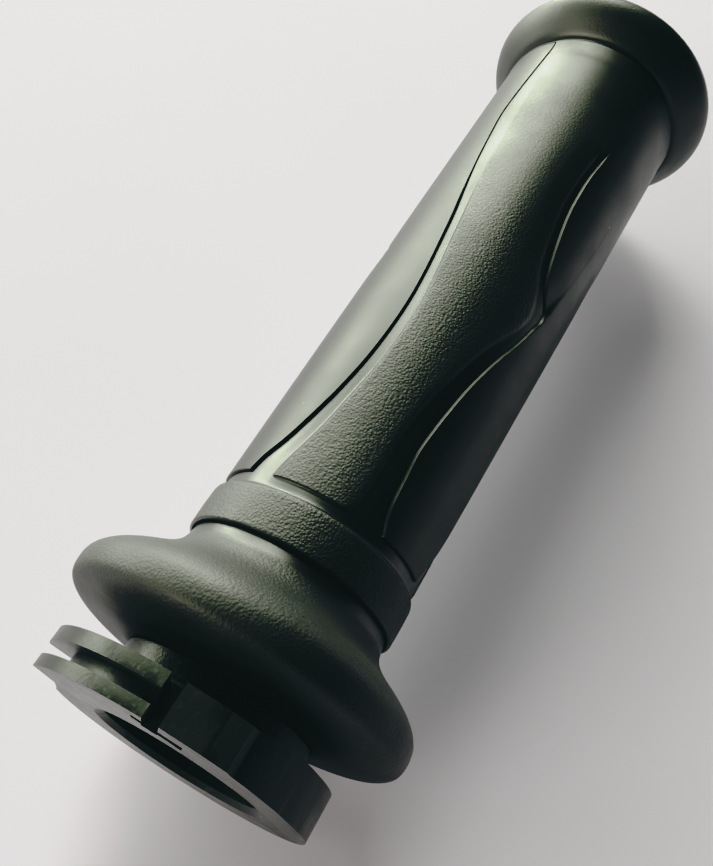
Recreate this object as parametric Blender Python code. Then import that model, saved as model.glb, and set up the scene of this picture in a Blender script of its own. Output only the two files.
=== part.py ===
"""Motorcycle throttle grip: a plastic throttle tube with its cable drum, inside a rubber grip sleeve with inlaid panels.

Frame: the bore axis is +X, pointing outboard, and the origin is half way along it. +Z is up as the grip lies,
and +Y is the front. Sizes are in mm. Lengths x are measured from the drum's inboard face, and MID brings them
to the origin. Angles named phi are degrees about +X, from +Z toward +Y.
"""

import math

import bmesh
import bpy

MM = 0.001
SEGMENTS = 64  # facets round the full turn
GAP = 0.3  # clearance between neighbouring pieces
SHARP_ANGLE = 35  # degrees; steeper edges are shaded sharp

# Throttle tube and bore
BORE_R = 11.25  # slides on a 22.2 mm handlebar
BORE_MOUTH_R = 12.0
BORE_MOUTH_DEPTH = BORE_MOUTH_R - BORE_R  # a 45 degree mouth
BORE_RING_STARTS = (1.9, 3.6)
BORE_RING = ((0, 0), (0.1, 0.2), (0.5, 0.2), (0.6, 0))  # shallow groove: (x from its start, depth)
TUBE_START = 3.0  # buried in the drum
TUBE_R = 12.6
TUBE_END = 131.2
TUBE_BEVEL = 0.6
COLLAR_R = 13.3
COLLAR_END = 9.2
COLLAR_BEVEL = 0.3
RIB_H = 0.35
RIB_R = TUBE_R + RIB_H
RIB_FROM, RIB_TO = 30.0, 118.0
RIB_RAMP = 1
RIB_EVERY = 8  # facets between keying ribs, so eight ribs

# Cable drum: lengths along the bore, then its outline.
# Outline points are (across, up) and angles run from across toward up, in the drum's own clocking:
# DRUM_CLOCK degrees turns across from +Y toward +Z.
DRUM_CLOCK = 14.4
DRUM_T = 6.1
PLATE_T = 1.65
GROOVE_TO = 3.6
OUTER_FLANGE_TO = 5.5
BLOCK_T = 5.3
POCKET_T = 2.6
DRUM_R = 18.0
TRACK_R = 21.0
TRACK_FLOOR_R = 17.7
TRACK_FROM, TRACK_TO = 2.0, 76.0
TRACK_STEPS = 18
BLOCK_TOP = 21.3
BLOCK_FROM, BLOCK_FLAT_TO, BLOCK_TO = 3.6, -1.6, -4.9
BLOCK_FACE_BASE = 15.5
SHOULDER_RISE, SHOULDER_POWER = 2.4, 1.6  # the shoulder falls to the drum's radius on a power curve
SHOULDER_FROM, SHOULDER_SWEEP, SHOULDER_STEPS = 105.0, 39.5, 8

# Cutters in the drum
CUT_OVER = 1.0  # how far cutters pass the faces they open
CUT_R = 26.0  # clear of the whole drum
SECTOR_FROM = -14.0
SECTOR_STEPS = 22
PLATE_TIP = ((17.5, -3.2), (CUT_R, -3.2), (CUT_R, 8.0), (20.4, 5.5), (17.5, 2.3))
NIPPLE_NOTCH = ((3.5, 14.4), (5.5, 14.4), (5.7, CUT_R), (3.6, CUT_R))
NIPPLE_POCKET = ((0.4, 14.7), (6.9, 15.9), (6.9, 17.4), (0.4, 17.2))

# Rubber sleeve
SLEEVE_BORE_R = TUBE_R + GAP
SLEEVE_KEY_R = SLEEVE_BORE_R + RIB_H
SLEEVE_START = 9.5
CUFF_FROM, CUFF_TO = 25.5, 31.8
CUFF_R = 15.42
BODY_FROM, BODY_TO = 33.0, 126.0
PANEL_R_FROM, PANEL_R_TO = 15.05, 15.65  # the body swells slightly toward its end
GRIP_END = 135.8
MID = GRIP_END / 2
LIP_R = 11.9
LIP_FACE = TUBE_END + GAP

# Depths below the panels' outer surface
CHANNEL_DROP = 0.45
PAD_DROP = 0.15
POCKET_DROP = 1.15
PANEL_T = 0.8
BODY_END_DROP = 0.2

# Inboard flange and the neck outboard of it: (x, r)
INBOARD_FLANGE = (
    (SLEEVE_START, 13.9), (9.7, 15.2), (9.95, 16.6), (10.15, 18.5), (10.6, 21.0), (11.2, 22.9),
    (12.1, 24.0), (13.8, 24.35), (15.4, 24.1), (16.9, 23.0), (18.3, 21.15), (19.6, 19.0),
    (21.0, 17.2), (22.6, 15.95), (24.4, 15.0),
)
# Outboard end flange: (x, r)
END_FLANGE = (
    (128.1, 16.2), (129.4, 17.4), (130.8, 18.6), (132.0, 19.3), (133.4, 19.8), (134.6, 19.6),
    (135.5, 18.9), (GRIP_END, 18.0),
)

# The body's pattern repeats three times: (name of the panel, turn in degrees of phi)
TURNS = (("front", 0), ("rear", -120), ("under", 120))

# The land at the top of the body and the pad on it, by their front and rear edges: (x, phi)
FRONT_EDGE = (
    (34, 40), (36, 37.2), (39, 30.8), (42, 26.4), (45, 22.9), (48, 19.8), (54, 15.8), (60, 14.0),
    (66, 13.9), (72, 15.7), (78, 18.6), (84, 21.9), (90, 26.1), (96, 29.9), (102, 33),
    (108, 35.4), (114, 34.6), (120, 32.6), (126, 30.4),
)
REAR_EDGE = (
    (34, -40), (36, -36.8), (38, -35.2), (42, -33.9), (46, -32.7), (50, -33.7), (54, -35.5),
    (58, -37.8), (62, -41.2), (66, -45.5), (70, -50.8), (74, -55.1), (77, -57.6), (79.5, -50.3),
    (82, -44.9), (86, -40.4), (90, -37.3), (94, -35.2), (98, -34.6), (102, -34.9), (106, -36.6),
    (110, -39), (118, -43.5), (126, -48),
)
PAD_FRONT = (
    (33.6, 23.5), (36, 21.8), (42, 15.6), (48, 11.6), (54, 8.3), (60, 6.9), (66, 6.9), (72, 9.6),
    (78, 12.8), (84, 15.8), (90, 18.8), (96, 20.6), (102, 22), (108, 23.3), (114, 24), (120, 24),
)
PAD_REAR = (
    (33.6, -18.5), (38, -20.2), (42, -20.2), (46, -20), (50, -21.3), (54, -23), (58, -26.7),
    (62, -30.3), (66, -35), (70, -42), (73, -47), (75.5, -48), (79, -42.5), (82, -37.3),
    (86, -33.8), (90, -31.5), (94, -29.5), (98, -29.5), (102, -30.3), (106, -31.8), (110, -33.5),
    (116, -37), (120, -41),
)
PAD_LENGTH_STEPS, PAD_WIDTH_STEPS = 18, 5

# Stations along a smooth panel: x
PANEL_STATIONS = (
    33.8, 36, 39, 43, 47, 51, 55, 60, 65, 70, 74, 77, 78.5, 80, 82, 85, 89, 94, 99, 104, 110,
    116, 121, 125.6,
)
PANEL_WIDTH_STEPS = 8
CLEARANCE_R = 15.0  # radius at which GAP becomes an angle
CLEARANCE_MARGIN = 1.1
POCKET_CLEARANCE = math.degrees(GAP / CLEARANCE_R) * CLEARANCE_MARGIN


def smooth(knots, x):
    """Catmull-Rom through the knots, held at the end values outside them."""
    if x <= knots[0][0]:
        return knots[0][1]
    if x >= knots[-1][0]:
        return knots[-1][1]
    i = max(k for k in range(len(knots) - 1) if knots[k][0] <= x)

    def slope(k):
        before, after = knots[max(k - 1, 0)], knots[min(k + 1, len(knots) - 1)]
        return (after[1] - before[1]) / (after[0] - before[0])

    (x0, y0), (x1, y1) = knots[i], knots[i + 1]
    span = x1 - x0
    t = (x - x0) / span
    return (
        y0 * (2 * t**3 - 3 * t**2 + 1)
        + slope(i) * span * (t**3 - 2 * t**2 + t)
        + y1 * (3 * t**2 - 2 * t**3)
        + slope(i + 1) * span * (t**3 - t**2)
    )


def stations(start, end, steps):
    return [start + (end - start) * i / steps for i in range(steps + 1)]


def bore_point(x, radius, phi):
    angle = math.radians(phi)
    return ((x - MID) * MM, radius * math.sin(angle) * MM, radius * math.cos(angle) * MM)


def polar(radius, degrees):
    """An (across, up) point of the drum."""
    angle = math.radians(degrees)
    return (radius * math.cos(angle), radius * math.sin(angle))


def body_radius(x, drop):
    t = min(max((x - BODY_FROM) / (BODY_TO - BODY_FROM), 0), 1)
    return PANEL_R_FROM + (PANEL_R_TO - PANEL_R_FROM) * t - drop


def mesh_object(name, points, faces):
    bm = bmesh.new()
    verts = [bm.verts.new(point) for point in points]
    for face in faces:
        bm.faces.new([verts[i] for i in face])
    bmesh.ops.recalc_face_normals(bm, faces=bm.faces)
    mesh = bpy.data.meshes.new(name)
    bm.to_mesh(mesh)
    bm.free()
    obj = bpy.data.objects.new(name, mesh)
    bpy.context.scene.collection.objects.link(obj)
    return obj


def on_rib(k):
    """True on the two facet edges that carry a keying rib."""
    return k % RIB_EVERY in (0, RIB_EVERY - 1)


def lathe(name, profile, closed=False, rib_r=None, plain_r=None):
    """An (x, r) profile turned about the bore axis: a closed loop, or an open line with flat ends.

    Points at rib_r drop to plain_r between the keying ribs.
    """
    count = len(profile)
    points = [
        bore_point(x, plain_r if r == rib_r and not on_rib(k) else r, 360 * (k + 0.5) / SEGMENTS)
        for k in range(SEGMENTS)
        for x, r in profile
    ]
    faces = []
    for k in range(SEGMENTS):
        here, there = k * count, (k + 1) % SEGMENTS * count
        for i in range(count if closed else count - 1):
            j = (i + 1) % count
            faces.append((here + i, here + j, there + j, there + i))
    if not closed:
        for end in (0, count - 1):
            faces.append([k * count + end for k in range(SEGMENTS)])
    return mesh_object(name, points, faces)


def patch(name, xs, low, high, inner_drop, outer_drop, steps):
    """A curved slab on the body, between the edges low(x) and high(x) in degrees of phi."""
    rows, columns = len(xs), steps + 1
    points = [
        bore_point(x, body_radius(x, drop), low(x) + (high(x) - low(x)) * j / steps)
        for drop in (inner_drop, outer_drop)
        for x in xs
        for j in range(columns)
    ]

    def at(side, i, j):
        return side * rows * columns + i * columns + j

    faces = []
    for i in range(rows - 1):
        for j in range(steps):
            for side in (0, 1):
                faces.append((
                    at(side, i, j), at(side, i + 1, j), at(side, i + 1, j + 1), at(side, i, j + 1),
                ))
        for j in (0, steps):
            faces.append((at(0, i, j), at(1, i, j), at(1, i + 1, j), at(0, i + 1, j)))
    for j in range(steps):
        for i in (0, rows - 1):
            faces.append((at(0, i, j), at(1, i, j), at(1, i, j + 1), at(0, i, j + 1)))
    return mesh_object(name, points, faces)


def prism(name, outline, x_from, x_to):
    """A flat drum outline given a thickness along the bore."""
    clock = math.radians(DRUM_CLOCK)
    c, s = math.cos(clock), math.sin(clock)
    turned = [(y * c - z * s, y * s + z * c) for y, z in outline]
    count = len(turned)
    points = [((x - MID) * MM, y * MM, z * MM) for x in (x_from, x_to) for y, z in turned]
    faces = [(i, (i + 1) % count, count + (i + 1) % count, count + i) for i in range(count)]
    faces += [list(range(count)), list(range(count, 2 * count))]
    return mesh_object(name, points, faces)


def combine(target, tool, operation):
    modifier = target.modifiers.new(operation.lower() + "_" + tool.name, "BOOLEAN")
    modifier.operation = operation
    modifier.solver = "EXACT"
    modifier.object = tool
    tool.hide_render = True
    tool.display_type = "WIRE"
    tool.hide_set(True)


def material(name, colour, roughness):
    mat = bpy.data.materials.new(name)
    mat.use_nodes = True
    shader = mat.node_tree.nodes["Principled BSDF"]
    shader.inputs["Base Color"].default_value = (*colour, 1)
    shader.inputs["Roughness"].default_value = roughness
    shader.inputs["Metallic"].default_value = 0.0
    return mat


def finish(obj, mat):
    obj.data.materials.append(mat)
    obj.data.shade_smooth()
    obj.data.set_sharp_from_angle(angle=math.radians(SHARP_ANGLE))


def drum_outline():
    points = [polar(DRUM_R, angle) for angle in (-9.0, -5.0)]
    # A small dip, then the step up to the cable track
    points += [polar(DRUM_R - 0.6, TRACK_FROM - 3.5), polar(TRACK_R - 0.8, TRACK_FROM - 1.2)]
    points += [polar(TRACK_R, angle) for angle in stations(TRACK_FROM, TRACK_TO, TRACK_STEPS)]
    points += [
        (BLOCK_FROM + 0.2, BLOCK_TOP), (BLOCK_FLAT_TO, BLOCK_TOP), (BLOCK_TO, BLOCK_TOP - 0.9),
    ]
    for t in stations(0, 1, SHOULDER_STEPS):
        rise = SHOULDER_RISE * (1 - t) ** SHOULDER_POWER
        points.append(polar(DRUM_R + rise, SHOULDER_FROM + SHOULDER_SWEEP * t))
    points += [polar(DRUM_R, angle) for angle in range(150, 347, 5)]
    return points


def track_sector(inner_r):
    """The sector outside inner_r, over the whole cable track."""
    angles = stations(SECTOR_FROM, TRACK_TO, SECTOR_STEPS)
    return [polar(CUT_R, a) for a in angles] + [polar(inner_r, a) for a in reversed(angles)]


def tube_stock():
    return lathe(
        "tube_stock",
        (
            (TUBE_START, COLLAR_R), (COLLAR_END - COLLAR_BEVEL, COLLAR_R),
            (COLLAR_END, COLLAR_R - COLLAR_BEVEL), (COLLAR_END, TUBE_R),
            (RIB_FROM - RIB_RAMP, TUBE_R), (RIB_FROM, RIB_R),
            (RIB_TO, RIB_R), (RIB_TO + RIB_RAMP, TUBE_R),
            (TUBE_END - TUBE_BEVEL, TUBE_R), (TUBE_END, TUBE_R - TUBE_BEVEL),
        ),
        rib_r=RIB_R, plain_r=TUBE_R,
    )


def bore_cut():
    rings = [(start + x, BORE_R + depth) for start in BORE_RING_STARTS for x, depth in BORE_RING]
    mouth = [(-CUT_OVER, BORE_MOUTH_R + CUT_OVER), (BORE_MOUTH_DEPTH, BORE_R)]
    return lathe("bore_cut", mouth + rings + [(TUBE_END + 2, BORE_R)])


def throttle_tube(mat):
    tube = prism("throttle_tube", drum_outline(), 0, DRUM_T)
    combine(tube, tube_stock(), "UNION")
    block_low, block_high = BLOCK_TO - 0.2, BLOCK_FROM + 0.5
    block_face = (
        (block_low, BLOCK_FACE_BASE), (block_high, BLOCK_FACE_BASE),
        (block_high, CUT_R), (block_low, CUT_R),
    )
    inboard, outboard = -CUT_OVER, DRUM_T + CUT_OVER
    cuts = (
        ("cable_groove_cut", track_sector(TRACK_FLOOR_R), PLATE_T, GROOVE_TO),
        ("outer_flange_cut", track_sector(COLLAR_R + 0.9), OUTER_FLANGE_TO, outboard),
        ("block_face_cut", block_face, BLOCK_T, outboard),
        ("plate_tip_cut", PLATE_TIP, inboard, PLATE_T + 0.1),
        ("nipple_notch_cut", NIPPLE_NOTCH, inboard, outboard),
        ("nipple_pocket_cut", NIPPLE_POCKET, inboard, POCKET_T),
    )
    for cut in cuts:
        combine(tube, prism(*cut), "DIFFERENCE")
    combine(tube, bore_cut(), "DIFFERENCE")
    finish(tube, mat)


def sleeve_loop():
    """Outer skin from the inboard flange to the end flange, then back along the bore."""
    return [
        (SLEEVE_START, SLEEVE_BORE_R),
        *INBOARD_FLANGE,
        (CUFF_FROM - 0.2, 14.6), (CUFF_FROM, CUFF_R - 0.3), (CUFF_FROM + 0.3, CUFF_R),
        (CUFF_TO - 0.5, CUFF_R), (CUFF_TO, CUFF_R - 0.4),
        *((x, body_radius(x, CHANNEL_DROP)) for x in (CUFF_TO + 0.3, 60, 92, 124)),
        (126.6, body_radius(BODY_TO, BODY_END_DROP)),
        *END_FLANGE,
        (GRIP_END, LIP_R + 0.5), (GRIP_END - 0.5, LIP_R),
        (LIP_FACE, LIP_R), (LIP_FACE, SLEEVE_BORE_R),
        # Keyways over the tube's ribs
        (RIB_TO + 1.5, SLEEVE_BORE_R), (RIB_TO + 0.5, SLEEVE_KEY_R),
        (RIB_FROM - 0.5, SLEEVE_KEY_R), (RIB_FROM - 1.5, SLEEVE_BORE_R),
    ]


def turned(edge, turn):
    return lambda x: smooth(edge, x) + turn


def palm_pad(side, turn):
    """The raised pad on the grained land between two smooth panels."""
    return patch(
        "pad_of_" + side, stations(33.6, 120, PAD_LENGTH_STEPS),
        turned(PAD_REAR, turn), turned(PAD_FRONT, turn),
        POCKET_DROP, PAD_DROP, PAD_WIDTH_STEPS,
    )


def panel_and_pocket(side, turn, mat):
    """The smooth panel from one land's front edge round to the next land's rear edge.

    Returns the cutter for its pocket.
    """
    low, high = turned(FRONT_EDGE, turn), turned(REAR_EDGE, turn + 120)
    panel = patch(side + "_panel", PANEL_STATIONS, low, high, PANEL_T, 0.0, PANEL_WIDTH_STEPS)
    finish(panel, mat)
    first, *between, last = PANEL_STATIONS
    return patch(
        side + "_panel_pocket", [first - GAP, *between, last + GAP],
        lambda x: low(x) - POCKET_CLEARANCE, lambda x: high(x) + POCKET_CLEARANCE,
        POCKET_DROP, -CUT_OVER, PANEL_WIDTH_STEPS,
    )


def grip_sleeve(mat, panel_mat):
    sleeve = lathe(
        "grip_sleeve", sleeve_loop(), closed=True, rib_r=SLEEVE_KEY_R, plain_r=SLEEVE_BORE_R,
    )
    for side, turn in TURNS:
        combine(sleeve, palm_pad(side, turn), "UNION")
        combine(sleeve, panel_and_pocket(side, turn, panel_mat), "DIFFERENCE")
    finish(sleeve, mat)


def build():
    for obj in list(bpy.data.objects):
        bpy.data.objects.remove(obj, do_unlink=True)
    plastic = material("black_plastic", colour=(0.028, 0.03, 0.029), roughness=0.45)
    rubber = material("black_rubber_grained", colour=(0.03, 0.033, 0.031), roughness=0.62)
    satin = material("black_rubber_smooth", colour=(0.032, 0.035, 0.033), roughness=0.42)
    throttle_tube(plastic)
    grip_sleeve(rubber, satin)


build()
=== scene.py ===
# A twist-grip throttle: a rubber sleeve with three smooth side panels, on a plastic tube whose
# inboard end carries a cable drum. Its axis is y = z = 0 and it runs along +X from the drum's
# inboard face. Angles about the axis are in degrees, 0 at +Z and 90 at +Y.
import math

import bmesh
import bpy
import numpy as np
from mathutils import Matrix, Vector


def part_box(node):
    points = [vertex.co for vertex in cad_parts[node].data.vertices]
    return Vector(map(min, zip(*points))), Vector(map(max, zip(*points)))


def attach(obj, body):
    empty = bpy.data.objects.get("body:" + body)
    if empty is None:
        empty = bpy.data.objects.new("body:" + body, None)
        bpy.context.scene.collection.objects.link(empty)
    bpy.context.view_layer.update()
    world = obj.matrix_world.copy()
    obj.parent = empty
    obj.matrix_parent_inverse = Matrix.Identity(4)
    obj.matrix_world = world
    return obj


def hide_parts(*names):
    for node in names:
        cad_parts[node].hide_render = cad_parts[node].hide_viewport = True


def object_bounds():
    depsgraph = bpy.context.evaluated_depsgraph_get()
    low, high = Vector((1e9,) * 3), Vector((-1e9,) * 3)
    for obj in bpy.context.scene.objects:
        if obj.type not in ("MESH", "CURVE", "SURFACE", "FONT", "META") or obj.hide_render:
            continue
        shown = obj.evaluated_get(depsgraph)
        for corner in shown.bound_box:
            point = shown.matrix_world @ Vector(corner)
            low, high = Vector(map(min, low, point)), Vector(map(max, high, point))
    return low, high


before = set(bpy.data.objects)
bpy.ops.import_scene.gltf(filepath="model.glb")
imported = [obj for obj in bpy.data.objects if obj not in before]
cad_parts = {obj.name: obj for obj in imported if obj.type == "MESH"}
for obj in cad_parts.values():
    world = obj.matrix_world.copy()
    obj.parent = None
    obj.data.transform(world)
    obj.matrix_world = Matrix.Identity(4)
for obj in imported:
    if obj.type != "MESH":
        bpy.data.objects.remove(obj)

CAD_BOX = [list(map(float, c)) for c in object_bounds()]
MM = 0.001
FACE_X = float(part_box("throttle_tube")[0][0])  # the drum's inboard face; every x below is from it

# ---------------------------------------------------------------- sizes (mm, degrees)
# tube and drum
BORE_R, BORE_MOUTH_R, TUBE_R, TUBE_END = 11.25, 12.0, 12.6, 131.2
COLLAR_R, COLLAR_END = 13.3, 9.25
RIDGE = 0.16           # depth of the fine grooves in the bore
DRUM_CLOCK = 14.4      # turn of the drum's outlines, from +Y toward +Z
DRUM_T, DRUM_R, TRACK_R, TRACK_FLOOR_R = 6.1, 18.0, 21.0, 17.7
TRACK_FROM, TRACK_TO = 2.0, 74.0
RIM_TO = TRACK_TO + 2
TRACK_CUT = (-14, RIM_TO)
PLATE_T, GROOVE_TO, OUTER_FLANGE_TO = 1.65, 3.6, 5.5
BLOCK_T, BLOCK_TOP, BLOCK_FROM, BLOCK_FLAT_TO, BLOCK_TO = 5.3, 21.3, 3.6, -1.6, -4.9
CLEAR_R, CLEAR_X = 26, 1  # cutters reach this radius, and this far past a face
SEGMENTS = 144

# sleeve and panels
CHANNEL, PAD_H, PANEL_H = 0.45, 0.30, 0.45  # depth of the channel, heights above its bottom
FRONT_CHANNEL_H = 0.33
POCKET_DEPTH, PANEL_DEPTH = 0.95, 0.85      # undersides, below the panels' tops
PANEL_X0, PANEL_X1 = 33.75, 127.15
POCKET_X0, POCKET_X1 = 33.67, 127.2
EDGE_RANGE = (33.6, 126.0)  # the edge curves hold their end values outside this
END_LIFT_H = 0.12
CUFF_FROM, CUFF_LENGTH, CUFF_R, CUFF_CROWN = 25.85, 5.3, 15.46, 0.05
PROFILE_SPACING = 0.42
CREASE_ANGLE = 50

# spans of x over which one shape eases into the next
FLUSH = (105.3, 108.2)      # rear channel rises level with the panel
END_RISE = (124.0, 127.4)   # the channel runs out
END_LIFT = (125.5, 127.6)
FRONT_GAP = (84, 95)        # the front step fades
END_FLANGE_SPAN = (128.2, 128.8)

# Edges of the top land as (x, angle); "front" is the side of higher angle. The other two lands
# are the same, 120 and 240 degrees round.
FRONT_EDGE = (
    (34, 40), (36, 37.2), (39, 30.8), (42, 26.4), (45, 22.9), (48, 19.8), (54, 15.8), (60, 14.0),
    (66, 13.9), (72, 15.7), (78, 18.6), (84, 21.9), (90, 26.1), (96, 29.9), (102, 33),
    (108, 35.4), (114, 34.6), (120, 32.6), (126, 30.4),
)
REAR_EDGE = (
    (34, -40), (36, -36.8), (38, -35.2), (42, -33.9), (46, -32.7), (50, -33.7), (54, -35.5),
    (58, -37.8), (62, -41.2), (66, -45.5), (70, -50.8), (74, -55.1), (77, -57.6), (79.5, -50.3),
    (82, -44.9), (86, -40.4), (90, -37.3), (94, -35.2), (98, -34.6), (102, -34.9), (106, -36.6),
    (110, -39), (118, -43.5), (126, -48),
)
# edges of the grained pad on the land, (x, angle)
PAD_FRONT = (
    (33.6, 23.5), (36, 21.8), (42, 15.6), (48, 11.6), (54, 8.3), (60, 6.9), (66, 6.9), (72, 9.6),
    (78, 12.8), (84, 15.8), (90, 18.8), (96, 20.6), (102, 22), (108, 23.3), (114, 24), (120, 24),
)
PAD_REAR = (
    (33.6, -17.2), (34.2, -18.6), (35.5, -19.8), (38, -20.2), (42, -20.2), (46, -20),
    (50, -21.3), (54, -23), (58, -26.7), (62, -30.3), (66, -35), (70, -41.5), (73, -46),
    (75.5, -47), (79, -42.5), (82, -37.3), (86, -33.8), (90, -31.5), (94, -29.5), (98, -29.5),
    (102, -30.3), (106, -31.8), (110, -33.5), (116, -37), (120, -41),
)
# the rear edge's wave line carried on across the panel, where its step dies away, (x, angle)
WAVE_TAIL = (
    (74, -55.4), (78, -58.6), (82, -61.7), (86, -64.3), (90, -66.4), (94, -68), (98, -69),
    (102, -69.5), (110, -69.5),
)

# the sleeve's outline from its inboard end, (x, radius)
GUARD_FLANGE = (
    (9.5, 12.9), (9.27, 13.2), (9.27, 13.5), (9.42, 14.2), (9.66, 15.0), (9.9, 16.2),
    (10.12, 18.4), (10.5, 20.9), (11.15, 22.9), (12.05, 24.0), (13.7, 24.35), (15.4, 24.1),
    (16.9, 23.0), (18.3, 21.15), (19.6, 18.95), (20.9, 17.05), (22.1, 15.8), (23.2, 15.15),
    (24.3, 14.85), (25.5, 14.68), (26.05, 14.6),
)
CUFF_INBOARD = (
    (26.16, 14.62), (26.16, 14.78), (26.05, 14.88), (25.7, 14.93), (25.56, 14.97), (25.5, 15.06),
    (25.5, 15.18), (25.56, 15.31), (25.68, 15.41), (CUFF_FROM, CUFF_R),
)
CUFF_OUTBOARD = (
    (31.15, 15.45), (31.35, 15.41), (31.52, 15.33), (31.64, 15.2), (31.72, 15.04), (31.8, 14.86),
    (31.9, 14.72), (32.05, 14.64),
)
END_GROOVE = (
    (127.48, 15.74), (127.58, 15.66), (127.66, 15.52), (127.74, 15.36), (127.84, 15.26),
    (127.98, 15.24), (128.1, 15.3), (128.2, 15.48),
)
END_FLANGE = (
    (128.26, 15.72), (128.36, 16.0), (128.7, 16.5), (129.6, 17.45), (130.7, 18.45),
    (131.8, 19.2), (132.8, 19.65), (133.7, 19.8), (134.6, 19.62), (135.3, 19.1), (135.7, 18.3),
    (135.8, 17.3), (135.8, 15.0), (135.8, 12.75), (135.68, 12.3), (135.3, 12.0), (134.6, 11.9),
    (131.6, 11.9),
)


# ---------------------------------------------------------------- curves
def spline_at(knots, x):
    """Catmull-Rom through the knots for an array of x, held at the end values."""
    knots = np.array(knots, float)
    kx, ky = knots[:, 0], knots[:, 1]
    slope = np.empty(len(knots))
    slope[1:-1] = (ky[2:] - ky[:-2]) / (kx[2:] - kx[:-2])
    slope[0] = (ky[1] - ky[0]) / (kx[1] - kx[0])
    slope[-1] = (ky[-1] - ky[-2]) / (kx[-1] - kx[-2])
    x = np.clip(np.asarray(x, float), kx[0], kx[-1])
    i = np.clip(np.searchsorted(kx, x, side="right") - 1, 0, len(knots) - 2)
    width = kx[i + 1] - kx[i]
    t = (x - kx[i]) / width
    return (
        ky[i] * (2 * t**3 - 3 * t**2 + 1) + slope[i] * width * (t**3 - 2 * t**2 + t)
        + ky[i + 1] * (3 * t**2 - 2 * t**3) + slope[i + 1] * width * (t**3 - t**2)
    )


def ease(span, x):
    """0 before the span, 1 after it, smooth between."""
    start, end = span
    t = np.clip((np.asarray(x, float) - start) / (end - start), 0, 1)
    return t * t * (3 - 2 * t)


def body_radius(x):
    """Radius of the smooth panels' tops, which widens outboard."""
    return 15.05 + 0.60 * np.clip((np.asarray(x, float) - 33.0) / 93.0, 0, 1)


def slope_scale(knots, x, radius):
    """How much wider, in degrees, a step square to a slanting edge is."""
    slope = (spline_at(knots, np.asarray(x) + 0.05) - spline_at(knots, np.asarray(x) - 0.05)) / 0.1
    return np.sqrt(1 + (np.radians(slope) * radius) ** 2)


def blend(p, q, t_p, t_q, t):
    return (t_q - t) / (t_q - t_p) * p + (t - t_p) / (t_q - t_p) * q


def resample(points):
    """A Catmull-Rom through (x, radius) points, sampled at about PROFILE_SPACING."""
    pts = np.array(points, float)
    padded = np.vstack([2 * pts[0] - pts[1], pts, 2 * pts[-1] - pts[-2]])
    out = []
    for i in range(1, len(padded) - 2):
        a, b, c, d = padded[i - 1:i + 3]
        n = max(1, int(math.ceil(np.linalg.norm(c - b) / PROFILE_SPACING)))
        # centripetal form keeps the curve from looping at uneven points
        t0, t1 = 0.0, np.linalg.norm(b - a) ** 0.5
        t2 = t1 + np.linalg.norm(c - b) ** 0.5
        t3 = t2 + np.linalg.norm(d - c) ** 0.5
        for k in range(n):
            t = t1 + (t2 - t1) * k / n
            ab = blend(a, b, t0, t1, t)
            bc = blend(b, c, t1, t2, t)
            cd = blend(c, d, t2, t3, t)
            out.append(blend(blend(ab, bc, t0, t2, t), blend(bc, cd, t1, t3, t), t1, t2, t))
    out.append(pts[-1])
    return [tuple(v) for v in out]


# ---------------------------------------------------------------- mesh helpers
def make_object(name, verts, faces):
    mesh = bpy.data.meshes.new(name)
    mesh.from_pydata([tuple(v) for v in verts], [], [tuple(f) for f in faces])
    mesh.update()
    obj = bpy.data.objects.new(name, mesh)
    bpy.context.scene.collection.objects.link(obj)
    mesh.shade_smooth()
    return obj


def make_solid(name, verts, faces):
    """An object whose normals all face outward."""
    obj = make_object(name, verts, faces)
    bm = bmesh.new()
    bm.from_mesh(obj.data)
    bmesh.ops.recalc_face_normals(bm, faces=bm.faces)
    bm.to_mesh(obj.data)
    bm.free()
    return obj


def grid_faces(rows, cols, close_rows=False, close_cols=False):
    i = np.arange(rows if close_rows else rows - 1)
    j = np.arange(cols if close_cols else cols - 1)
    ii, jj = np.meshgrid(i, j, indexing="ij")
    next_i, next_j = (ii + 1) % rows, (jj + 1) % cols
    corners = [ii * cols + jj, next_i * cols + jj, next_i * cols + next_j, ii * cols + next_j]
    return np.stack(corners, -1).reshape(-1, 4)


def around_axis(x, radius, angle):
    """Points in metres from x and radius in mm and an array of angles."""
    a = np.radians(angle)
    along = np.broadcast_to(x, a.shape) * MM + FACE_X
    return np.stack([along, radius * np.sin(a) * MM, radius * np.cos(a) * MM], -1)


def shade(obj, crease):
    obj.data.shade_smooth()
    obj.data.set_sharp_from_angle(angle=math.radians(crease))


def paint(obj, name, values):
    layer = obj.data.attributes.new(name, "FLOAT", "POINT")
    layer.data.foreach_set("value", np.asarray(values, np.float32).ravel())


# ---------------------------------------------------------------- rubber sleeve
def sleeve_profile():
    """Closed (x, radius) outline, and the rows of it that are the body between the flanges."""
    profile = resample(GUARD_FLANGE) + list(CUFF_INBOARD)
    for x in np.arange(26.2, 31.1, 0.35):
        crown = CUFF_CROWN * math.sin(math.pi * (x - CUFF_FROM) / CUFF_LENGTH)
        profile.append((x, CUFF_R + crown))
    profile += CUFF_OUTBOARD
    body_start = len(profile)
    stations = [32.3, 32.7, 33.1, 33.35, 33.5, 33.6, 33.66, 33.69, 33.8, 33.9, 34.0, 34.2, 34.6]
    stations += list(np.arange(35.0, 126.8, 0.5)) + [126.9, 127.05, 127.18, 127.21, 127.35]
    for x in stations:
        channel = float(body_radius(x)) - CHANNEL + CHANNEL * float(ease(END_RISE, x))
        profile.append((x, channel + END_LIFT_H * float(ease(END_LIFT, x))))
    body_end = len(profile)
    profile += list(END_GROOVE) + resample(END_FLANGE)
    # back inboard along the bore
    profile += [(131.5, 12.0), (131.5, 12.85), (131.4, 12.9)]
    profile += [(x, 12.9) for x in np.arange(126.0, 9.0, -6.0)]
    return np.array(profile), body_start, body_end


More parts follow.
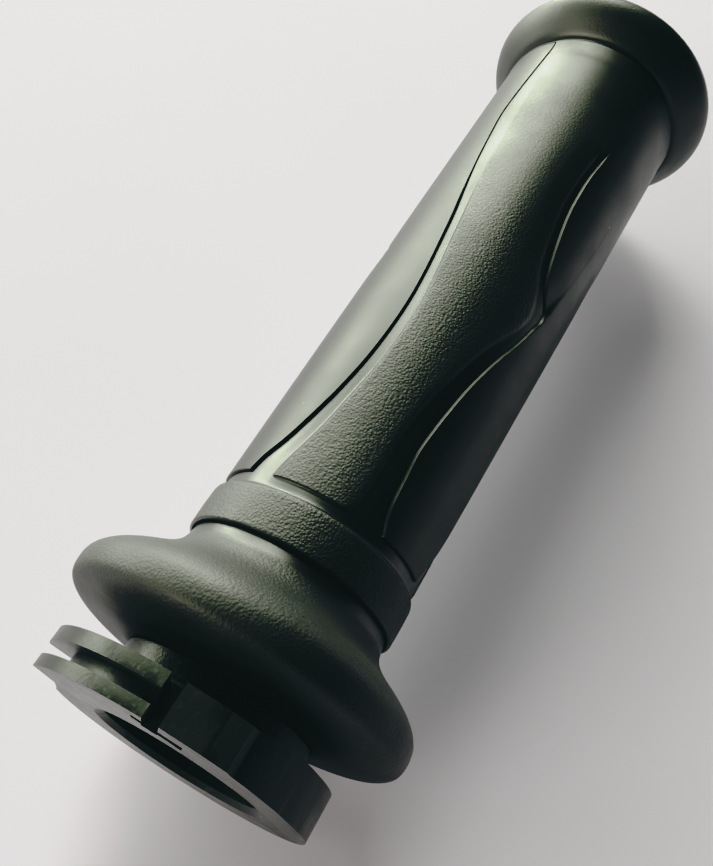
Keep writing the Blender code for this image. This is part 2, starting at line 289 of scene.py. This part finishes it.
def panel_gaps(X):
    """Gaps in mm at a panel's rear-edge and front-edge sides, closing where it runs flush."""
    return 0.07 - 0.055 * ease((105, 108), X), 0.05 + 0.07 * ease(FRONT_GAP, X)


def between(left, right, low, high, middle, radius):
    """Angles from anchor low to anchor high, each an (angle, slope scale) pair of arrays.

    left and right are offsets in mm inward from each; middle even columns go between them.
    """
    width = (high[0] - low[0]) * np.pi / 180 * radius
    need = left[-1] * low[1] + right[0] * high[1]
    squeeze = np.minimum(1.0, width / (1.25 * need))
    degree = 180 / np.pi / radius
    columns = [low[0] + v * squeeze * low[1] * degree for v in left]
    end = [high[0] - v * squeeze * high[1] * degree for v in right]
    last = columns[-1]
    for m in range(1, middle + 1):
        t = m / (middle + 1)
        columns.append(last * (1 - t) + end[0] * t)
    return columns + end


def kinds(side, part, mixes):
    return [(side, part, mix) for mix in mixes]


def sleeve_columns(X):
    """Lengthwise columns (angles, side, part, mix, turn of the land they belong to).

    mix is the share of pad height on a step, and the depth of rounding on a lip.
    """
    edge_x = np.clip(X, *EDGE_RANGE)
    radius = body_radius(edge_x)
    degree = 180 / np.pi / radius
    rear_gap, front_gap = panel_gaps(X)
    # the pad's rear step grows wide and soft toward the outboard end
    soft = ease((58.0, 84.0), X)
    wide = 1 + 2.2 * soft
    rear_kinds = (
        kinds("rear", "lip", (0.75, 0.3, 0.07)) + kinds("rear", "channel", [0] * 8)
        + kinds("rear", "step", (0.06 - 0.02 * soft, 0.28 - 0.13 * soft, 0.62 - 0.27 * soft))
    )
    pad_kinds = (
        kinds("rear", "step", (0.86 - 0.36 * soft, 0.97 - 0.22 * soft))
        + kinds("", "pad", [0] * 32) + kinds("front", "step", (0.97, 0.86))
    )
    front_kinds = (
        kinds("front", "step", (0.62, 0.28, 0.06)) + kinds("front", "channel", [0] * 5)
        + kinds("front", "lip", (0.07, 0.3, 0.75))
    )
    floor_steps = 12

    def anchor(knots, turn):
        return spline_at(knots, edge_x) + turn, slope_scale(knots, edge_x, radius)

    columns = []
    for turn in (120, 240, 360):
        before = anchor(FRONT_EDGE, turn - 120)
        rear, pad_rear = anchor(REAR_EDGE, turn), anchor(PAD_REAR, turn)
        pad_front, front = anchor(PAD_FRONT, turn), anchor(FRONT_EDGE, turn)
        # pocket floor under the panel, then the land from its rear edge to its front
        low = before[0] - (front_gap - 0.015) * before[1] * degree
        inset = rear_gap - 0.01 * (rear_gap > 0.05) - 0.002
        high = rear[0] + inset * rear[1] * degree
        floor_angles = [
            low * (1 - m / floor_steps) + high * (m / floor_steps) for m in range(floor_steps + 1)
        ]
        start = (rear[0] + rear_gap * rear[1] * degree, rear[1])
        end = (front[0] - front_gap * front[1] * degree, front[1])
        rear_angles = between(
            [0.0, 0.04, 0.1, 0.2, 0.45, 0.8], [1.0, 0.66, 0.34, 0.08], start, pad_rear, 4, radius)
        pad_angles = between(
            [0.16 * wide, 0.5 * wide, 0.95 * wide], [0.4, 0.2, 0.06],
            pad_rear, pad_front, 30, radius)
        front_angles = between(
            [0.05, 0.2, 0.36, 0.55], [0.8, 0.45, 0.2, 0.1, 0.04, 0.0], pad_front, end, 1, radius)
        for angles, group in (
            (floor_angles, kinds("", "floor", [0] * (floor_steps + 1))),
            (rear_angles, rear_kinds), (pad_angles, pad_kinds), (front_angles, front_kinds),
        ):
            columns += [(angle, *kind, turn) for angle, kind in zip(angles, group)]
    return columns


def rubber_grip():
    profile, body_start, body_end = sleeve_profile()
    X, R = profile[:, 0], profile[:, 1]
    columns = sleeve_columns(X)
    angles = np.stack([column[0] for column in columns], 1)
    inside = np.zeros(len(X))
    inside[body_start:body_end] = 1
    outer = np.zeros(len(X))
    outer[:body_end] = 1
    in_pocket = ((X > POCKET_X0) & (X < POCKET_X1) & (inside > 0)).astype(float)
    edge_x = np.clip(X, *EDGE_RANGE)
    front_edge, pad_front = spline_at(FRONT_EDGE, edge_x), spline_at(PAD_FRONT, edge_x)
    gaps = dict(zip(("rear", "front"), panel_gaps(X)))

    # heights above the channel's bottom
    run_out = 1 - ease(END_RISE, X)
    channel_h = {
        "rear": PANEL_H * ease(FLUSH, X) * run_out,
        "front": FRONT_CHANNEL_H * ease((84, 96), X) * run_out,
    }
    pad_h = (PAD_H + 0.15 * ease((86, 98), X)) * ease((33.42, 33.72), X)
    pad_h = pad_h * (1 - ease((123.0, 127.4), X))
    ramp_share = ease((88, 95), X)  # where the front channel turns into one long ramp

    # grain by zone: guard flange, cuff, end flange, pad
    guard_zone = ease((8.0, 9.0), X) * (1 - ease((23.2, 24.0), X))
    cuff_zone = ease((25.55, 25.9), X) * (1 - ease((31.5, 31.75), X))
    flange_zone = ease(END_FLANGE_SPAN, X) * (R > 15.6)
    base_grain = (guard_zone * 0.6 + cuff_zone) * outer + 0.25 * flange_zone
    pad_start, pad_fade, pad_end = (33.45, 33.75), (74, 98), (112, 122)
    # the flanges and the body toward its end are duller than the front channel
    dull = 2.0 * guard_zone * outer + 1.6 * inside * ease((80, 108), X) + 1.5 * flange_zone
    front_gloss = inside * ease((36.0, 44.0), X) * (1 - ease((84.0, 92.0), X))

    radii, grain, gloss = (np.zeros(angles.shape) for _ in range(3))
    for j, (angle, side, part, mix, turn) in enumerate(columns):
        height = pad_h if part == "pad" else channel_h.get(side, 0)
        if part == "step":
            height = height * (1 - mix) + pad_h * mix
        if side == "front":
            edge, pad_edge = front_edge + turn, pad_front + turn
            t = np.clip((edge - angle) / np.maximum(edge - pad_edge, 0.5), 0, 1)
            ramped = channel_h["front"] + (pad_h - channel_h["front"]) * t
            height = height * (1 - ramp_share) + ramped * ramp_share
            gloss[:, j] = front_gloss * (1 - mix if part == "step" else 1.0)
        radii[:, j] = R + inside * height
        if part == "floor":
            radii[:, j] = np.where(in_pocket > 0, body_radius(X) - POCKET_DEPTH, radii[:, j])
        elif part == "lip":
            radii[:, j] -= in_pocket * mix * 0.09 * np.clip(gaps[side] / 0.1, 0.1, 1)
        gloss[:, j] -= dull
        share = np.minimum(1, 3 * mix) if part == "step" else float(part == "pad")
        grain[:, j] = base_grain + inside * share * ease(pad_start, X) * (
            1 - 0.70 * ease(pad_fade, X)) * (1 - ease(pad_end, X))
    verts = around_axis(X[:, None], radii, angles).reshape(-1, 3)
    obj = make_solid("rubber_grip", verts, grid_faces(*angles.shape, True, True))
    shade(obj, CREASE_ANGLE)
    paint(obj, "grain", grain)
    paint(obj, "gloss", gloss)
    return obj


# ---------------------------------------------------------------- smooth side panels
def wall_drop(distance, height, lean):
    """Drop of a step's slanted wall, its foot and crest softened."""
    t = np.clip(distance / np.maximum(lean * height, 1e-4), 0, 1)
    soft = 0.8 * t + 0.2 * t * t * (3 - 2 * t)
    return height * (1 - soft - 0.10 * np.sin(np.pi * t) ** 2 * t)


def side_panel(name, turn):
    """One panel, from a land's front edge round to the next land's rear edge."""
    insets = [0, 0.03, 0.08, 0.16, 0.28, 0.5]
    X = np.array(
        [PANEL_X0 + v for v in insets] + list(np.arange(34.6, 74.0, 0.6))
        + list(np.arange(74.0, 95.0, 0.35)) + list(np.arange(95.0, 126.5, 0.6))
        + [PANEL_X1 - v for v in reversed(insets)]
    )
    X = X[np.concatenate([[True], np.diff(X) > 0.02])]
    edge_x = np.clip(X, *EDGE_RANGE)
    radius = body_radius(edge_x)
    degree = 180 / np.pi / radius
    front, front_slope = spline_at(FRONT_EDGE, edge_x), slope_scale(FRONT_EDGE, edge_x, radius)
    rear, rear_slope = spline_at(REAR_EDGE, edge_x) + 120, slope_scale(REAR_EDGE, edge_x, radius)
    edge_insets = [0, 0.04, 0.1, 0.18, 0.26, 0.34, 0.4, 0.44, 0.5, 0.62]
    n = 70  # even spans between the two edges' close columns
    columns = [front + v * front_slope * degree for v in edge_insets]
    end = [rear - v * rear_slope * degree for v in reversed(edge_insets)]
    a, b = columns[-1], end[0]
    columns += [a * (1 - m / n) + b * (m / n) for m in range(1, n)] + end
    angles = np.stack(columns, 1)
    rows, cols = angles.shape

    # distance in from each edge, in mm
    from_front = (angles - front[:, None]) / degree[:, None] / front_slope[:, None]
    from_rear = (rear[:, None] - angles) / degree[:, None] / rear_slope[:, None]
    from_end = np.minimum(X - PANEL_X0, PANEL_X1 - X)[:, None] * np.ones((1, cols))
    rear_h = (0.44 - 0.42 * ease(FLUSH, X))[:, None]
    front_h = (0.44 - 0.34 * ease(FRONT_GAP, X))[:, None]
    end_round = 0.18
    t = np.clip(from_end / end_round, 0, 1)
    end_drop = end_round * (1 - np.sqrt(np.clip(1 - (1 - t) ** 2, 0, 1)))
    top = (body_radius(X) + END_LIFT_H * ease(END_LIFT, X))[:, None] - np.maximum.reduce([
        wall_drop(from_front, front_h, lean=0.40), wall_drop(from_rear, rear_h, lean=0.6), end_drop,
    ])
    # the wave line's tail and the hollow beside it, both dying away outboard
    tail = (spline_at(WAVE_TAIL, X) + 120)[:, None]
    beside = (angles - tail) / degree[:, None]
    depth = 0.30 * (1 - 0.86 * ease((77.5, 85.0), X)) * (1 - ease((90.0, 108.0), X))
    depth = (depth * ease((75.5, 77.2), X))[:, None]
    top = top - depth * ease((-0.05, 0.42), beside) * (1 - ease((1.2, 4.2), beside))
    bottom = np.broadcast_to((body_radius(X) - PANEL_DEPTH)[:, None], top.shape)

    verts = [around_axis(X[:, None], r, angles + turn).reshape(-1, 3) for r in (top, bottom)]
    count = rows * cols
    top_faces = grid_faces(rows, cols)
    rim = np.array(
        [i * cols for i in range(rows)] + [(rows - 1) * cols + j for j in range(1, cols)]
        + [i * cols + cols - 1 for i in range(rows - 2, -1, -1)] + list(range(cols - 2, 0, -1))
    )
    ahead = np.roll(rim, -1)
    sides = np.stack([rim, ahead, ahead + count, rim + count], -1)
    faces = np.vstack([top_faces, top_faces[:, ::-1] + count, sides])
    obj = make_solid(name, np.vstack(verts), faces)
    shade(obj, CREASE_ANGLE)
    paint(obj, "grain", np.zeros(len(obj.data.vertices)))
    return obj


# ---------------------------------------------------------------- cable drum and tube
def lathe(name, profile, closed=False):
    """A turned solid; the profile is a closed loop, or open and capped at its ends."""
    angles = np.arange(SEGMENTS) * 360.0 / SEGMENTS
    rings = [
        around_axis(np.full(SEGMENTS, x), np.full(SEGMENTS, r), angles)
        for x, r in np.array(profile, float)
    ]
    rows = len(profile)
    faces = [tuple(f) for f in grid_faces(rows, SEGMENTS, closed, True)]
    if not closed:
        faces.append(tuple(range(SEGMENTS)))
        faces.append(tuple(range((rows - 1) * SEGMENTS, rows * SEGMENTS)))
    return make_solid(name, np.stack(rings, 0).reshape(-1, 3), faces)


def prism(name, outline, x_from, x_to):
    """A (y, z) outline, turned by DRUM_CLOCK, extruded along x."""
    c, s = math.cos(math.radians(DRUM_CLOCK)), math.sin(math.radians(DRUM_CLOCK))
    points = [(y * c - z * s, y * s + z * c) for y, z in outline]
    n = len(points)
    verts = [(x * MM + FACE_X, y * MM, z * MM) for x in (x_from, x_to) for y, z in points]
    faces = [(i, (i + 1) % n, n + (i + 1) % n, n + i) for i in range(n)]
    return make_solid(name, verts, faces + [tuple(range(n)), tuple(range(n, 2 * n))])


def polar(radius, angle):
    """(y, z) in the drum's own frame, the angle from its +y toward its +z."""
    return (radius * math.cos(math.radians(angle)), radius * math.sin(math.radians(angle)))


def sector(inner, outer, start, end):
    n = max(2, int(round((end - start) / 1.5)))
    angles = [start + (end - start) * i / n for i in range(n + 1)]
    return [polar(outer, a) for a in angles] + [polar(inner, a) for a in reversed(angles)]


def apply_modifiers(obj):
    graph = bpy.context.evaluated_depsgraph_get()
    mesh = bpy.data.meshes.new_from_object(obj.evaluated_get(graph))
    obj.modifiers.clear()
    old = obj.data
    obj.data = mesh
    bpy.data.meshes.remove(old)


def combine(target, tool, operation="DIFFERENCE"):
    mod = target.modifiers.new("bool", "BOOLEAN")
    mod.operation = operation
    mod.solver = "EXACT"
    mod.object = tool
    apply_modifiers(target)
    bpy.data.objects.remove(tool, do_unlink=True)


def drum_outline():
    # step up from the disc to the raised rim, then the rim
    pts = [polar(DRUM_R, a) for a in np.arange(-9.0, -4.4, 1.5)]
    pts += [
        polar(DRUM_R - 0.45, TRACK_FROM - 3.6), polar(DRUM_R + 0.6, TRACK_FROM - 2.3),
        polar(TRACK_R - 0.8, TRACK_FROM - 1.2),
    ]
    n = 50
    pts += [polar(TRACK_R, TRACK_FROM + (RIM_TO - TRACK_FROM) * i / n) for i in range(n + 1)]
    # the block's top
    pts += [
        (BLOCK_FROM + 0.2, BLOCK_TOP), (BLOCK_FLAT_TO + 0.5, BLOCK_TOP),
        (BLOCK_FLAT_TO - 0.3, BLOCK_TOP - 0.06), (BLOCK_FLAT_TO - 1.2, BLOCK_TOP - 0.2),
        (BLOCK_TO + 0.2, BLOCK_TOP - 0.68), (BLOCK_TO, BLOCK_TOP - 0.95),
    ]
    # run down to the plain disc, and the rest of the disc
    start = math.degrees(math.atan2(19.75, -5.3))
    n = 30
    pts += [
        polar(DRUM_R + 2.42 * (1 - i / n) ** 1.6, start + (146 - start) * i / n)
        for i in range(n + 1)
    ]
    return pts + [polar(DRUM_R, a) for a in np.arange(148.0, 350.0, 1.5)]


def cut_drum(drum):
    past_drum = DRUM_T + CLEAR_X
    block_face = [
        (BLOCK_TO - 0.2, 15.5), (BLOCK_FROM + 0.5, 15.5),
        (BLOCK_FROM + 0.5, CLEAR_R), (BLOCK_TO - 0.2, CLEAR_R),
    ]
    plate_notch = [(17.5, -3.2), (CLEAR_R, -3.2), (CLEAR_R, 8.0), (20.4, 5.5), (17.5, 2.3)]
    block_slot = [(3.5, 14.4), (5.5, 14.4), (5.7, CLEAR_R), (3.6, CLEAR_R)]
    face_pocket = [(0.4, 14.7), (6.9, 15.9), (6.9, 17.4), (0.4, 17.2)]

    def cut(outline, x_from, x_to):
        combine(drum, prism("cutter", outline, x_from, x_to))

    # the groove round the rim, then the outboard faces of the rim and the block
    cut(sector(TRACK_FLOOR_R, CLEAR_R, *TRACK_CUT), PLATE_T, GROOVE_TO)
    cut(sector(COLLAR_R + 0.9, CLEAR_R, *TRACK_CUT), OUTER_FLANGE_TO, past_drum)
    cut(block_face, BLOCK_T, past_drum)
    # behind the block its face runs out to the disc's on a slant
    near, far = BLOCK_TO - 0.1, BLOCK_TO - 6.0
    slant = [(near, 14.5), (near, CLEAR_R), (far, CLEAR_R), (far, 14.5)]
    wedge = prism("cutter", slant, BLOCK_T, past_drum)
    for i in (2, 3):
        wedge.data.vertices[i].co.x += (DRUM_T - BLOCK_T + 0.1) * MM
    combine(drum, wedge)
    cut(plate_notch, -CLEAR_X, PLATE_T + 0.1)
    cut(block_slot, -CLEAR_X, past_drum)
    cut(face_pocket, -CLEAR_X, 2.6)
    bore = [(-1.0, BORE_MOUTH_R + 1.0), (0.0, BORE_MOUTH_R), (0.75, BORE_R), (8.0, BORE_R)]
    combine(drum, lathe("cutter", bore))


def drum_and_tube():
    drum = prism("drum_and_tube", drum_outline(), 0, DRUM_T)
    cut_drum(drum)
    # merge slivers left by the cuts, so that the moulded edges round evenly
    bm = bmesh.new()
    bm.from_mesh(drum.data)
    bmesh.ops.remove_doubles(bm, verts=bm.verts, dist=2e-6)
    bmesh.ops.dissolve_limit(
        bm, angle_limit=math.radians(0.3), verts=bm.verts, edges=bm.edges)
    bm.to_mesh(drum.data)
    bm.free()
    bevel = drum.modifiers.new("bevel", "BEVEL")
    bevel.width = 0.22 * MM
    bevel.segments = 3
    bevel.limit_method = "ANGLE"
    bevel.angle_limit = math.radians(32)
    apply_modifiers(drum)
    # collar, outside, outboard end, then the bore with its three fine grooves
    groove_r = BORE_R + RIDGE
    tube = [
        (5.2, COLLAR_R), (COLLAR_END - 0.3, COLLAR_R), (COLLAR_END, COLLAR_R - 0.25),
        (COLLAR_END + 0.05, TUBE_R + 0.1), (COLLAR_END + 0.2, TUBE_R),
        (TUBE_END - 0.5, TUBE_R), (TUBE_END - 0.1, TUBE_R - 0.2), (TUBE_END, TUBE_R - 0.5),
        (TUBE_END, BORE_R + 0.4), (TUBE_END - 0.1, BORE_R + 0.1), (TUBE_END - 0.4, BORE_R),
        (5.7, BORE_R), (5.6, groove_r), (5.2, groove_r), (5.1, BORE_R),
        (4.6, BORE_R), (4.5, groove_r), (4.1, groove_r), (4.0, BORE_R),
        (3.5, BORE_R), (3.4, groove_r), (3.0, groove_r), (2.9, BORE_R),
        (2.4, BORE_R), (2.2, BORE_R + 0.45), (5.2, BORE_R + 1.2),
    ]
    combine(drum, lathe("stock", tube, closed=True), "UNION")
    shade(drum, 38)
    even = drum.modifiers.new("even_shading", "WEIGHTED_NORMAL")
    even.keep_sharp = True
    even.weight = 60
    apply_modifiers(drum)
    return drum


# ---------------------------------------------------------------- materials
def set_inputs(tree, node, inputs):
    """Link the sockets and set the plain values."""
    for key, value in inputs.items():
        if isinstance(value, bpy.types.NodeSocket):
            tree.links.new(value, node.inputs[key])
        else:
            node.inputs[key].default_value = value


def add_node(tree, kind, inputs, **settings):
    node = tree.nodes.new(kind)
    for key, value in settings.items():
        setattr(node, key, value)
    set_inputs(tree, node, inputs)
    return node


MIDTONES = (0.3, 0.7)  # the range that most noise falls in


class Shader:
    """A new material, with short ways to add nodes to it."""

    def __init__(self, name):
        self.material = bpy.data.materials.new(name)
        self.material.use_nodes = True
        self.tree = self.material.node_tree
        self.coord = self.node("TexCoord").outputs["Object"]

    def node(self, kind, inputs={}, **settings):
        return add_node(self.tree, "ShaderNode" + kind, inputs, **settings)

    def attribute(self, name):
        return self.node("Attribute", attribute_name=name).outputs["Fac"]

    def noise(self, scale, detail=3.0, rough=0.55, output="Fac"):
        return self.node("TexNoise", {
            "Scale": scale, "Detail": detail, "Roughness": rough, "Vector": self.coord,
        }).outputs[output]

    def remap(self, value, span, to=(0, 1)):
        return self.node("MapRange", {
            "From Min": span[0], "From Max": span[1], "To Min": to[0], "To Max": to[1],
            "Value": value,
        }).outputs["Result"]

    def math(self, operation, a, b):
        return self.node("Math", {0: a, 1: b}, operation=operation).outputs[0]

    def add(self, a, b):
        return self.math("ADD", a, b)

    def times(self, a, b):
        return self.math("MULTIPLY", a, b)

    def mix(self, share, a, b):
        """From colour a to the plain colour b."""
        a = (*a, 1) if isinstance(a, tuple) else a
        return self.node("Mix", {6: a, 7: (*b, 1), 0: share}, data_type="RGBA").outputs[2]

    def worn_edges(self, colour, span, most, worn):
        edge = self.node("NewGeometry").outputs["Pointiness"]
        return self.mix(self.remap(edge, span, to=(0.0, most)), colour, worn)

    def bump(self, height, strength, distance):
        normal = self.node("Bump", {"Strength": strength, "Distance": distance, "Height": height})
        self.surface({"Normal": normal.outputs["Normal"]})

    def surface(self, inputs):
        set_inputs(self.tree, self.tree.nodes["Principled BSDF"], inputs)


def rubber(name, smooth_rough, grain_rough, shine):
    sh = Shader(name)
    grain = sh.attribute("grain")
    # leather-like grain: small rounded pebbles with creases between them, positions warped
    warp = sh.noise(scale=1500, detail=2.0, rough=0.5, output="Color")
    warped = sh.node("VectorMath", {0: warp, 1: (0.00025,) * 3, 2: sh.coord},
                     operation="MULTIPLY_ADD")
    crease = sh.node("TexVoronoi", {
        "Scale": 2800, "Smoothness": 0.35, "Randomness": 1.0, "Vector": warped.outputs[0],
    }, feature="SMOOTH_F1").outputs["Distance"]
    pebble = sh.math("SUBTRACT", 1.0, crease)
    coarse = sh.noise(scale=1400, detail=2.0)
    fine = sh.noise(scale=5200)
    height = sh.add(sh.times(pebble, 0.75), sh.times(coarse, 0.36))
    height = sh.add(height, sh.times(fine, 0.22))
    height = sh.times(height, grain)
    # a far weaker moulded texture everywhere
    skin = sh.add(sh.times(fine, 0.045), sh.times(sh.noise(scale=260), 0.05))
    sh.bump(sh.add(height, skin), strength=0.9, distance=0.000095)

    # blotches, painted shade darkening the grain's creases, a few specks of dust, paler worn edges
    blotch = sh.noise(scale=70, detail=4.0)
    colour = sh.mix(
        sh.remap(blotch, MIDTONES), (0.0058, 0.0068, 0.0068), (0.0088, 0.0100, 0.0098))
    # painted shade: the grain's creases are darkened in the colour
    crease_shade = sh.times(sh.remap(crease, (0.15, 0.6)), sh.times(grain, 0.55))
    colour = sh.mix(crease_shade, colour, (0.004, 0.0048, 0.0045))
    dust = sh.node("TexVoronoi", {"Scale": 210, "Vector": sh.coord}, feature="F1")
    speck = sh.math("LESS_THAN", dust.outputs["Distance"], 0.035)
    few = sh.math("GREATER_THAN", sh.noise(scale=95, detail=1.0), 0.62)
    colour = sh.mix(sh.times(sh.times(speck, few), 0.55), colour, (0.25, 0.27, 0.25))
    colour = sh.worn_edges(colour, span=(0.53, 0.62), most=0.10, worn=(0.035, 0.04, 0.036))

    rough = sh.add(
        sh.remap(grain, (0, 1), to=(smooth_rough, grain_rough)),
        sh.remap(sh.noise(scale=160, detail=4.0), MIDTONES, to=(-0.04, 0.05)),
    )
    rough = sh.add(rough, sh.remap(fine, MIDTONES, to=(-0.02, 0.03)))
    rough = sh.math("SUBTRACT", rough, sh.times(sh.attribute("gloss"), 0.05))
    sh.surface({
        "Base Color": colour, "Roughness": rough, "IOR": 1.52, "Specular IOR Level": shine,
    })
    return sh.material


def plastic(name):
    sh = Shader(name)
    fine = sh.noise(scale=2400)
    medium = sh.noise(scale=420, detail=4.0)
    # everything outboard of the drum's face is rougher
    x = sh.node("SeparateXYZ", {0: sh.coord}).outputs["X"]
    rough_zone = sh.remap(x, (FACE_X + 0.0060, FACE_X + 0.0064), to=(0.55, 1.0))
    height = sh.add(sh.times(fine, 0.5), sh.times(medium, 0.5))
    sh.bump(sh.times(height, rough_zone), strength=0.5, distance=0.00018)

    blotch = sh.noise(scale=90, detail=4.0)
    colour = sh.mix(
        sh.remap(blotch, MIDTONES), (0.0062, 0.0072, 0.0072), (0.0096, 0.0110, 0.0108))
    scuff = sh.remap(sh.noise(scale=1500, detail=4.0), (0.54, 0.70), to=(0.0, 0.8))
    colour = sh.mix(sh.times(scuff, rough_zone), colour, (0.060, 0.066, 0.060))
    colour = sh.worn_edges(colour, span=(0.52, 0.60), most=0.5, worn=(0.09, 0.095, 0.088))

    rough = sh.add(
        sh.remap(medium, MIDTONES, to=(0.30, 0.38)), sh.remap(blotch, MIDTONES, to=(-0.03, 0.04)))
    rough = sh.add(rough, sh.times(scuff, 0.12))
    sh.surface({
        "Base Color": colour, "Roughness": rough, "IOR": 1.5, "Specular IOR Level": 0.34,
    })
    return sh.material


def pale_floor():
    sh = Shader("pale_floor")
    blotch = sh.remap(sh.noise(scale=9), MIDTONES)
    colour = sh.mix(blotch, (0.832, 0.760, 0.930), (0.857, 0.786, 0.958))
    rough = sh.remap(sh.noise(scale=900, detail=2.0), MIDTONES, to=(0.62, 0.75))
    sh.surface({"Base Color": colour, "Roughness": rough, "Specular IOR Level": 0.25})
    return sh.material


# ---------------------------------------------------------------- the pieces
def place(obj, material, node):
    obj.data.materials.append(material)
    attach(obj, "root")
    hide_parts(node)


grip = rubber_grip()
sleeve_rubber = rubber("grained_black_rubber", smooth_rough=0.34, grain_rough=0.54, shine=0.84)
panel_rubber = rubber("smooth_black_rubber", smooth_rough=0.41, grain_rough=0.47, shine=0.62)
black_plastic = plastic("black_moulded_plastic")
place(grip, sleeve_rubber, "grip_sleeve")
for panel_name, panel_node, panel_turn in (
    ("front_side_panel", "front_panel", 0),
    ("rear_side_panel", "rear_panel", -120),
    ("under_side_panel", "under_panel", 120),
):
    place(side_panel(panel_name, panel_turn), panel_rubber, panel_node)
drum = drum_and_tube()
drum.data.materials.clear()  # the booleans may leave empty slots
place(drum, black_plastic, "throttle_tube")
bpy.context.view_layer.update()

# ---------------------------------------------------------------- floor and world
FLOOR_POINTS = 41
floor_z = CAD_BOX[0][2] - 0.0002
floor_line = np.linspace(-3.0, 3.0, FLOOR_POINTS)
floor = make_object(
    "floor", [(x, y, floor_z) for x in floor_line for y in floor_line],
    grid_faces(FLOOR_POINTS, FLOOR_POINTS))
floor.data.materials.append(pale_floor())

# a dim room, which the camera sees as a pale backdrop
scene = bpy.context.scene
world = bpy.data.worlds.new("soft_room")
scene.world = world
world.use_nodes = True
room = world.node_tree
dim = room.nodes["Background"]
set_inputs(room, dim, {"Color": (0.93, 0.97, 1.0, 1), "Strength": 0.012})
backdrop = add_node(room, "ShaderNodeBackground", {"Color": (0.78, 0.78, 0.76, 1)})
seen = add_node(room, "ShaderNodeLightPath", {}).outputs["Is Camera Ray"]
either = add_node(
    room, "ShaderNodeMixShader", {0: seen, 1: dim.outputs[0], 2: backdrop.outputs[0]})
set_inputs(room, room.nodes["World Output"], {"Surface": either.outputs[0]})

# ---------------------------------------------------------------- window lights
WINDOW_DISTANCE, WINDOW_SIZE = 0.9, 0.37
FAR = 9  # windows stand this many times further and larger, and the power grows by its square
WARM, COOL = (1.0, 0.98, 0.80), (0.93, 1.0, 0.81)
# (azimuth from +Y toward +X, elevation, power before FAR, colour)
WINDOWS = (
    (60, 9, 6.4, COOL), (60, 42, 5.0, COOL), (20, 9, 4.9, COOL), (0, 9, 2.4, COOL),
    (40, 24, 2.4, COOL), (40, 9, 2.2, COOL), (300, 24, 2.8, WARM), (330, 42, 0.8, WARM),
    (30, 42, 0.3, COOL),
)
middle = Vector((FACE_X + 0.065, 0, 0))
for n, (azimuth, elevation, power, colour) in enumerate(WINDOWS):
    e, a = math.radians(elevation), math.radians(azimuth)
    outward = Vector((math.cos(e) * math.sin(a), math.cos(e) * math.cos(a), math.sin(e)))
    where = middle + outward * WINDOW_DISTANCE * FAR
    data = bpy.data.lights.new("window_%d" % n, "AREA")
    data.energy = power * FAR**2
    data.color = colour
    data.shape = "RECTANGLE"
    data.size = data.size_y = WINDOW_SIZE * FAR
    window = bpy.data.objects.new(data.name, data)
    scene.collection.objects.link(window)
    aim = (middle - where).normalized()
    window.matrix_world = aim.to_track_quat("-Z", "Y").to_matrix().to_4x4()
    window.location = where

# ---------------------------------------------------------------- camera
forward = Vector((0.44233, 0.24813, -0.86185)).normalized()
right = Vector((0.48914, -0.87222, 0.0))
right = (right - right.dot(forward) * forward).normalized()
up = right.cross(forward)
camera_data = bpy.data.cameras.new("camera")
camera_data.sensor_width = 36.0
camera_data.lens = 40.346896
camera_data.clip_start = 0.002
camera_data.clip_end = 20.0
camera = bpy.data.objects.new("camera", camera_data)
scene.collection.objects.link(camera)
pose = Matrix((right, up, -forward)).transposed().to_4x4()
pose.translation = Vector((FACE_X - 0.011206, -0.031105, 0.121148))
camera.matrix_world = pose
scene.camera = camera

# ---------------------------------------------------------------- tone curve
# shadows held down, red a little more than green and blue: (input, red, green, blue)
SHADOW_TONES = (
    (0.0, 0.0030, 0.0052, 0.0052), (0.0097, 0.0042, 0.0074, 0.0078),
    (0.0168, 0.0054, 0.0095, 0.0102), (0.0262, 0.0072, 0.0119, 0.0130),
    (0.0382, 0.0108, 0.0153, 0.0168), (0.0529, 0.0198, 0.0247, 0.0262),
    (0.0704, 0.0438, 0.0490, 0.0500), (0.0908, 0.0810, 0.0870, 0.0850),
)
# (input, output) for all three channels
UPPER_TONES = (
    (0.114, 0.121), (0.156, 0.176), (0.223, 0.258), (0.305, 0.330), (0.456, 0.442),
    (0.600, 0.545), (0.791, 0.730),
)
WHITE = (1.0, 0.83)
view = scene.view_settings
view.view_transform = "Standard"
view.look = "None"
view.use_curve_mapping = True
tones = view.curve_mapping
tones.use_clip = True
for channel in range(3):
    curve = tones.curves[channel]
    shadows = [(row[0], row[1 + channel]) for row in SHADOW_TONES]
    curve.points[0].location = shadows[0]
    curve.points[1].location = WHITE
    for tone_in, tone_out in (*shadows[1:], *UPPER_TONES):
        curve.points.new(tone_in, tone_out)
    for point in curve.points:
        point.handle_type = "VECTOR"
tones.update()
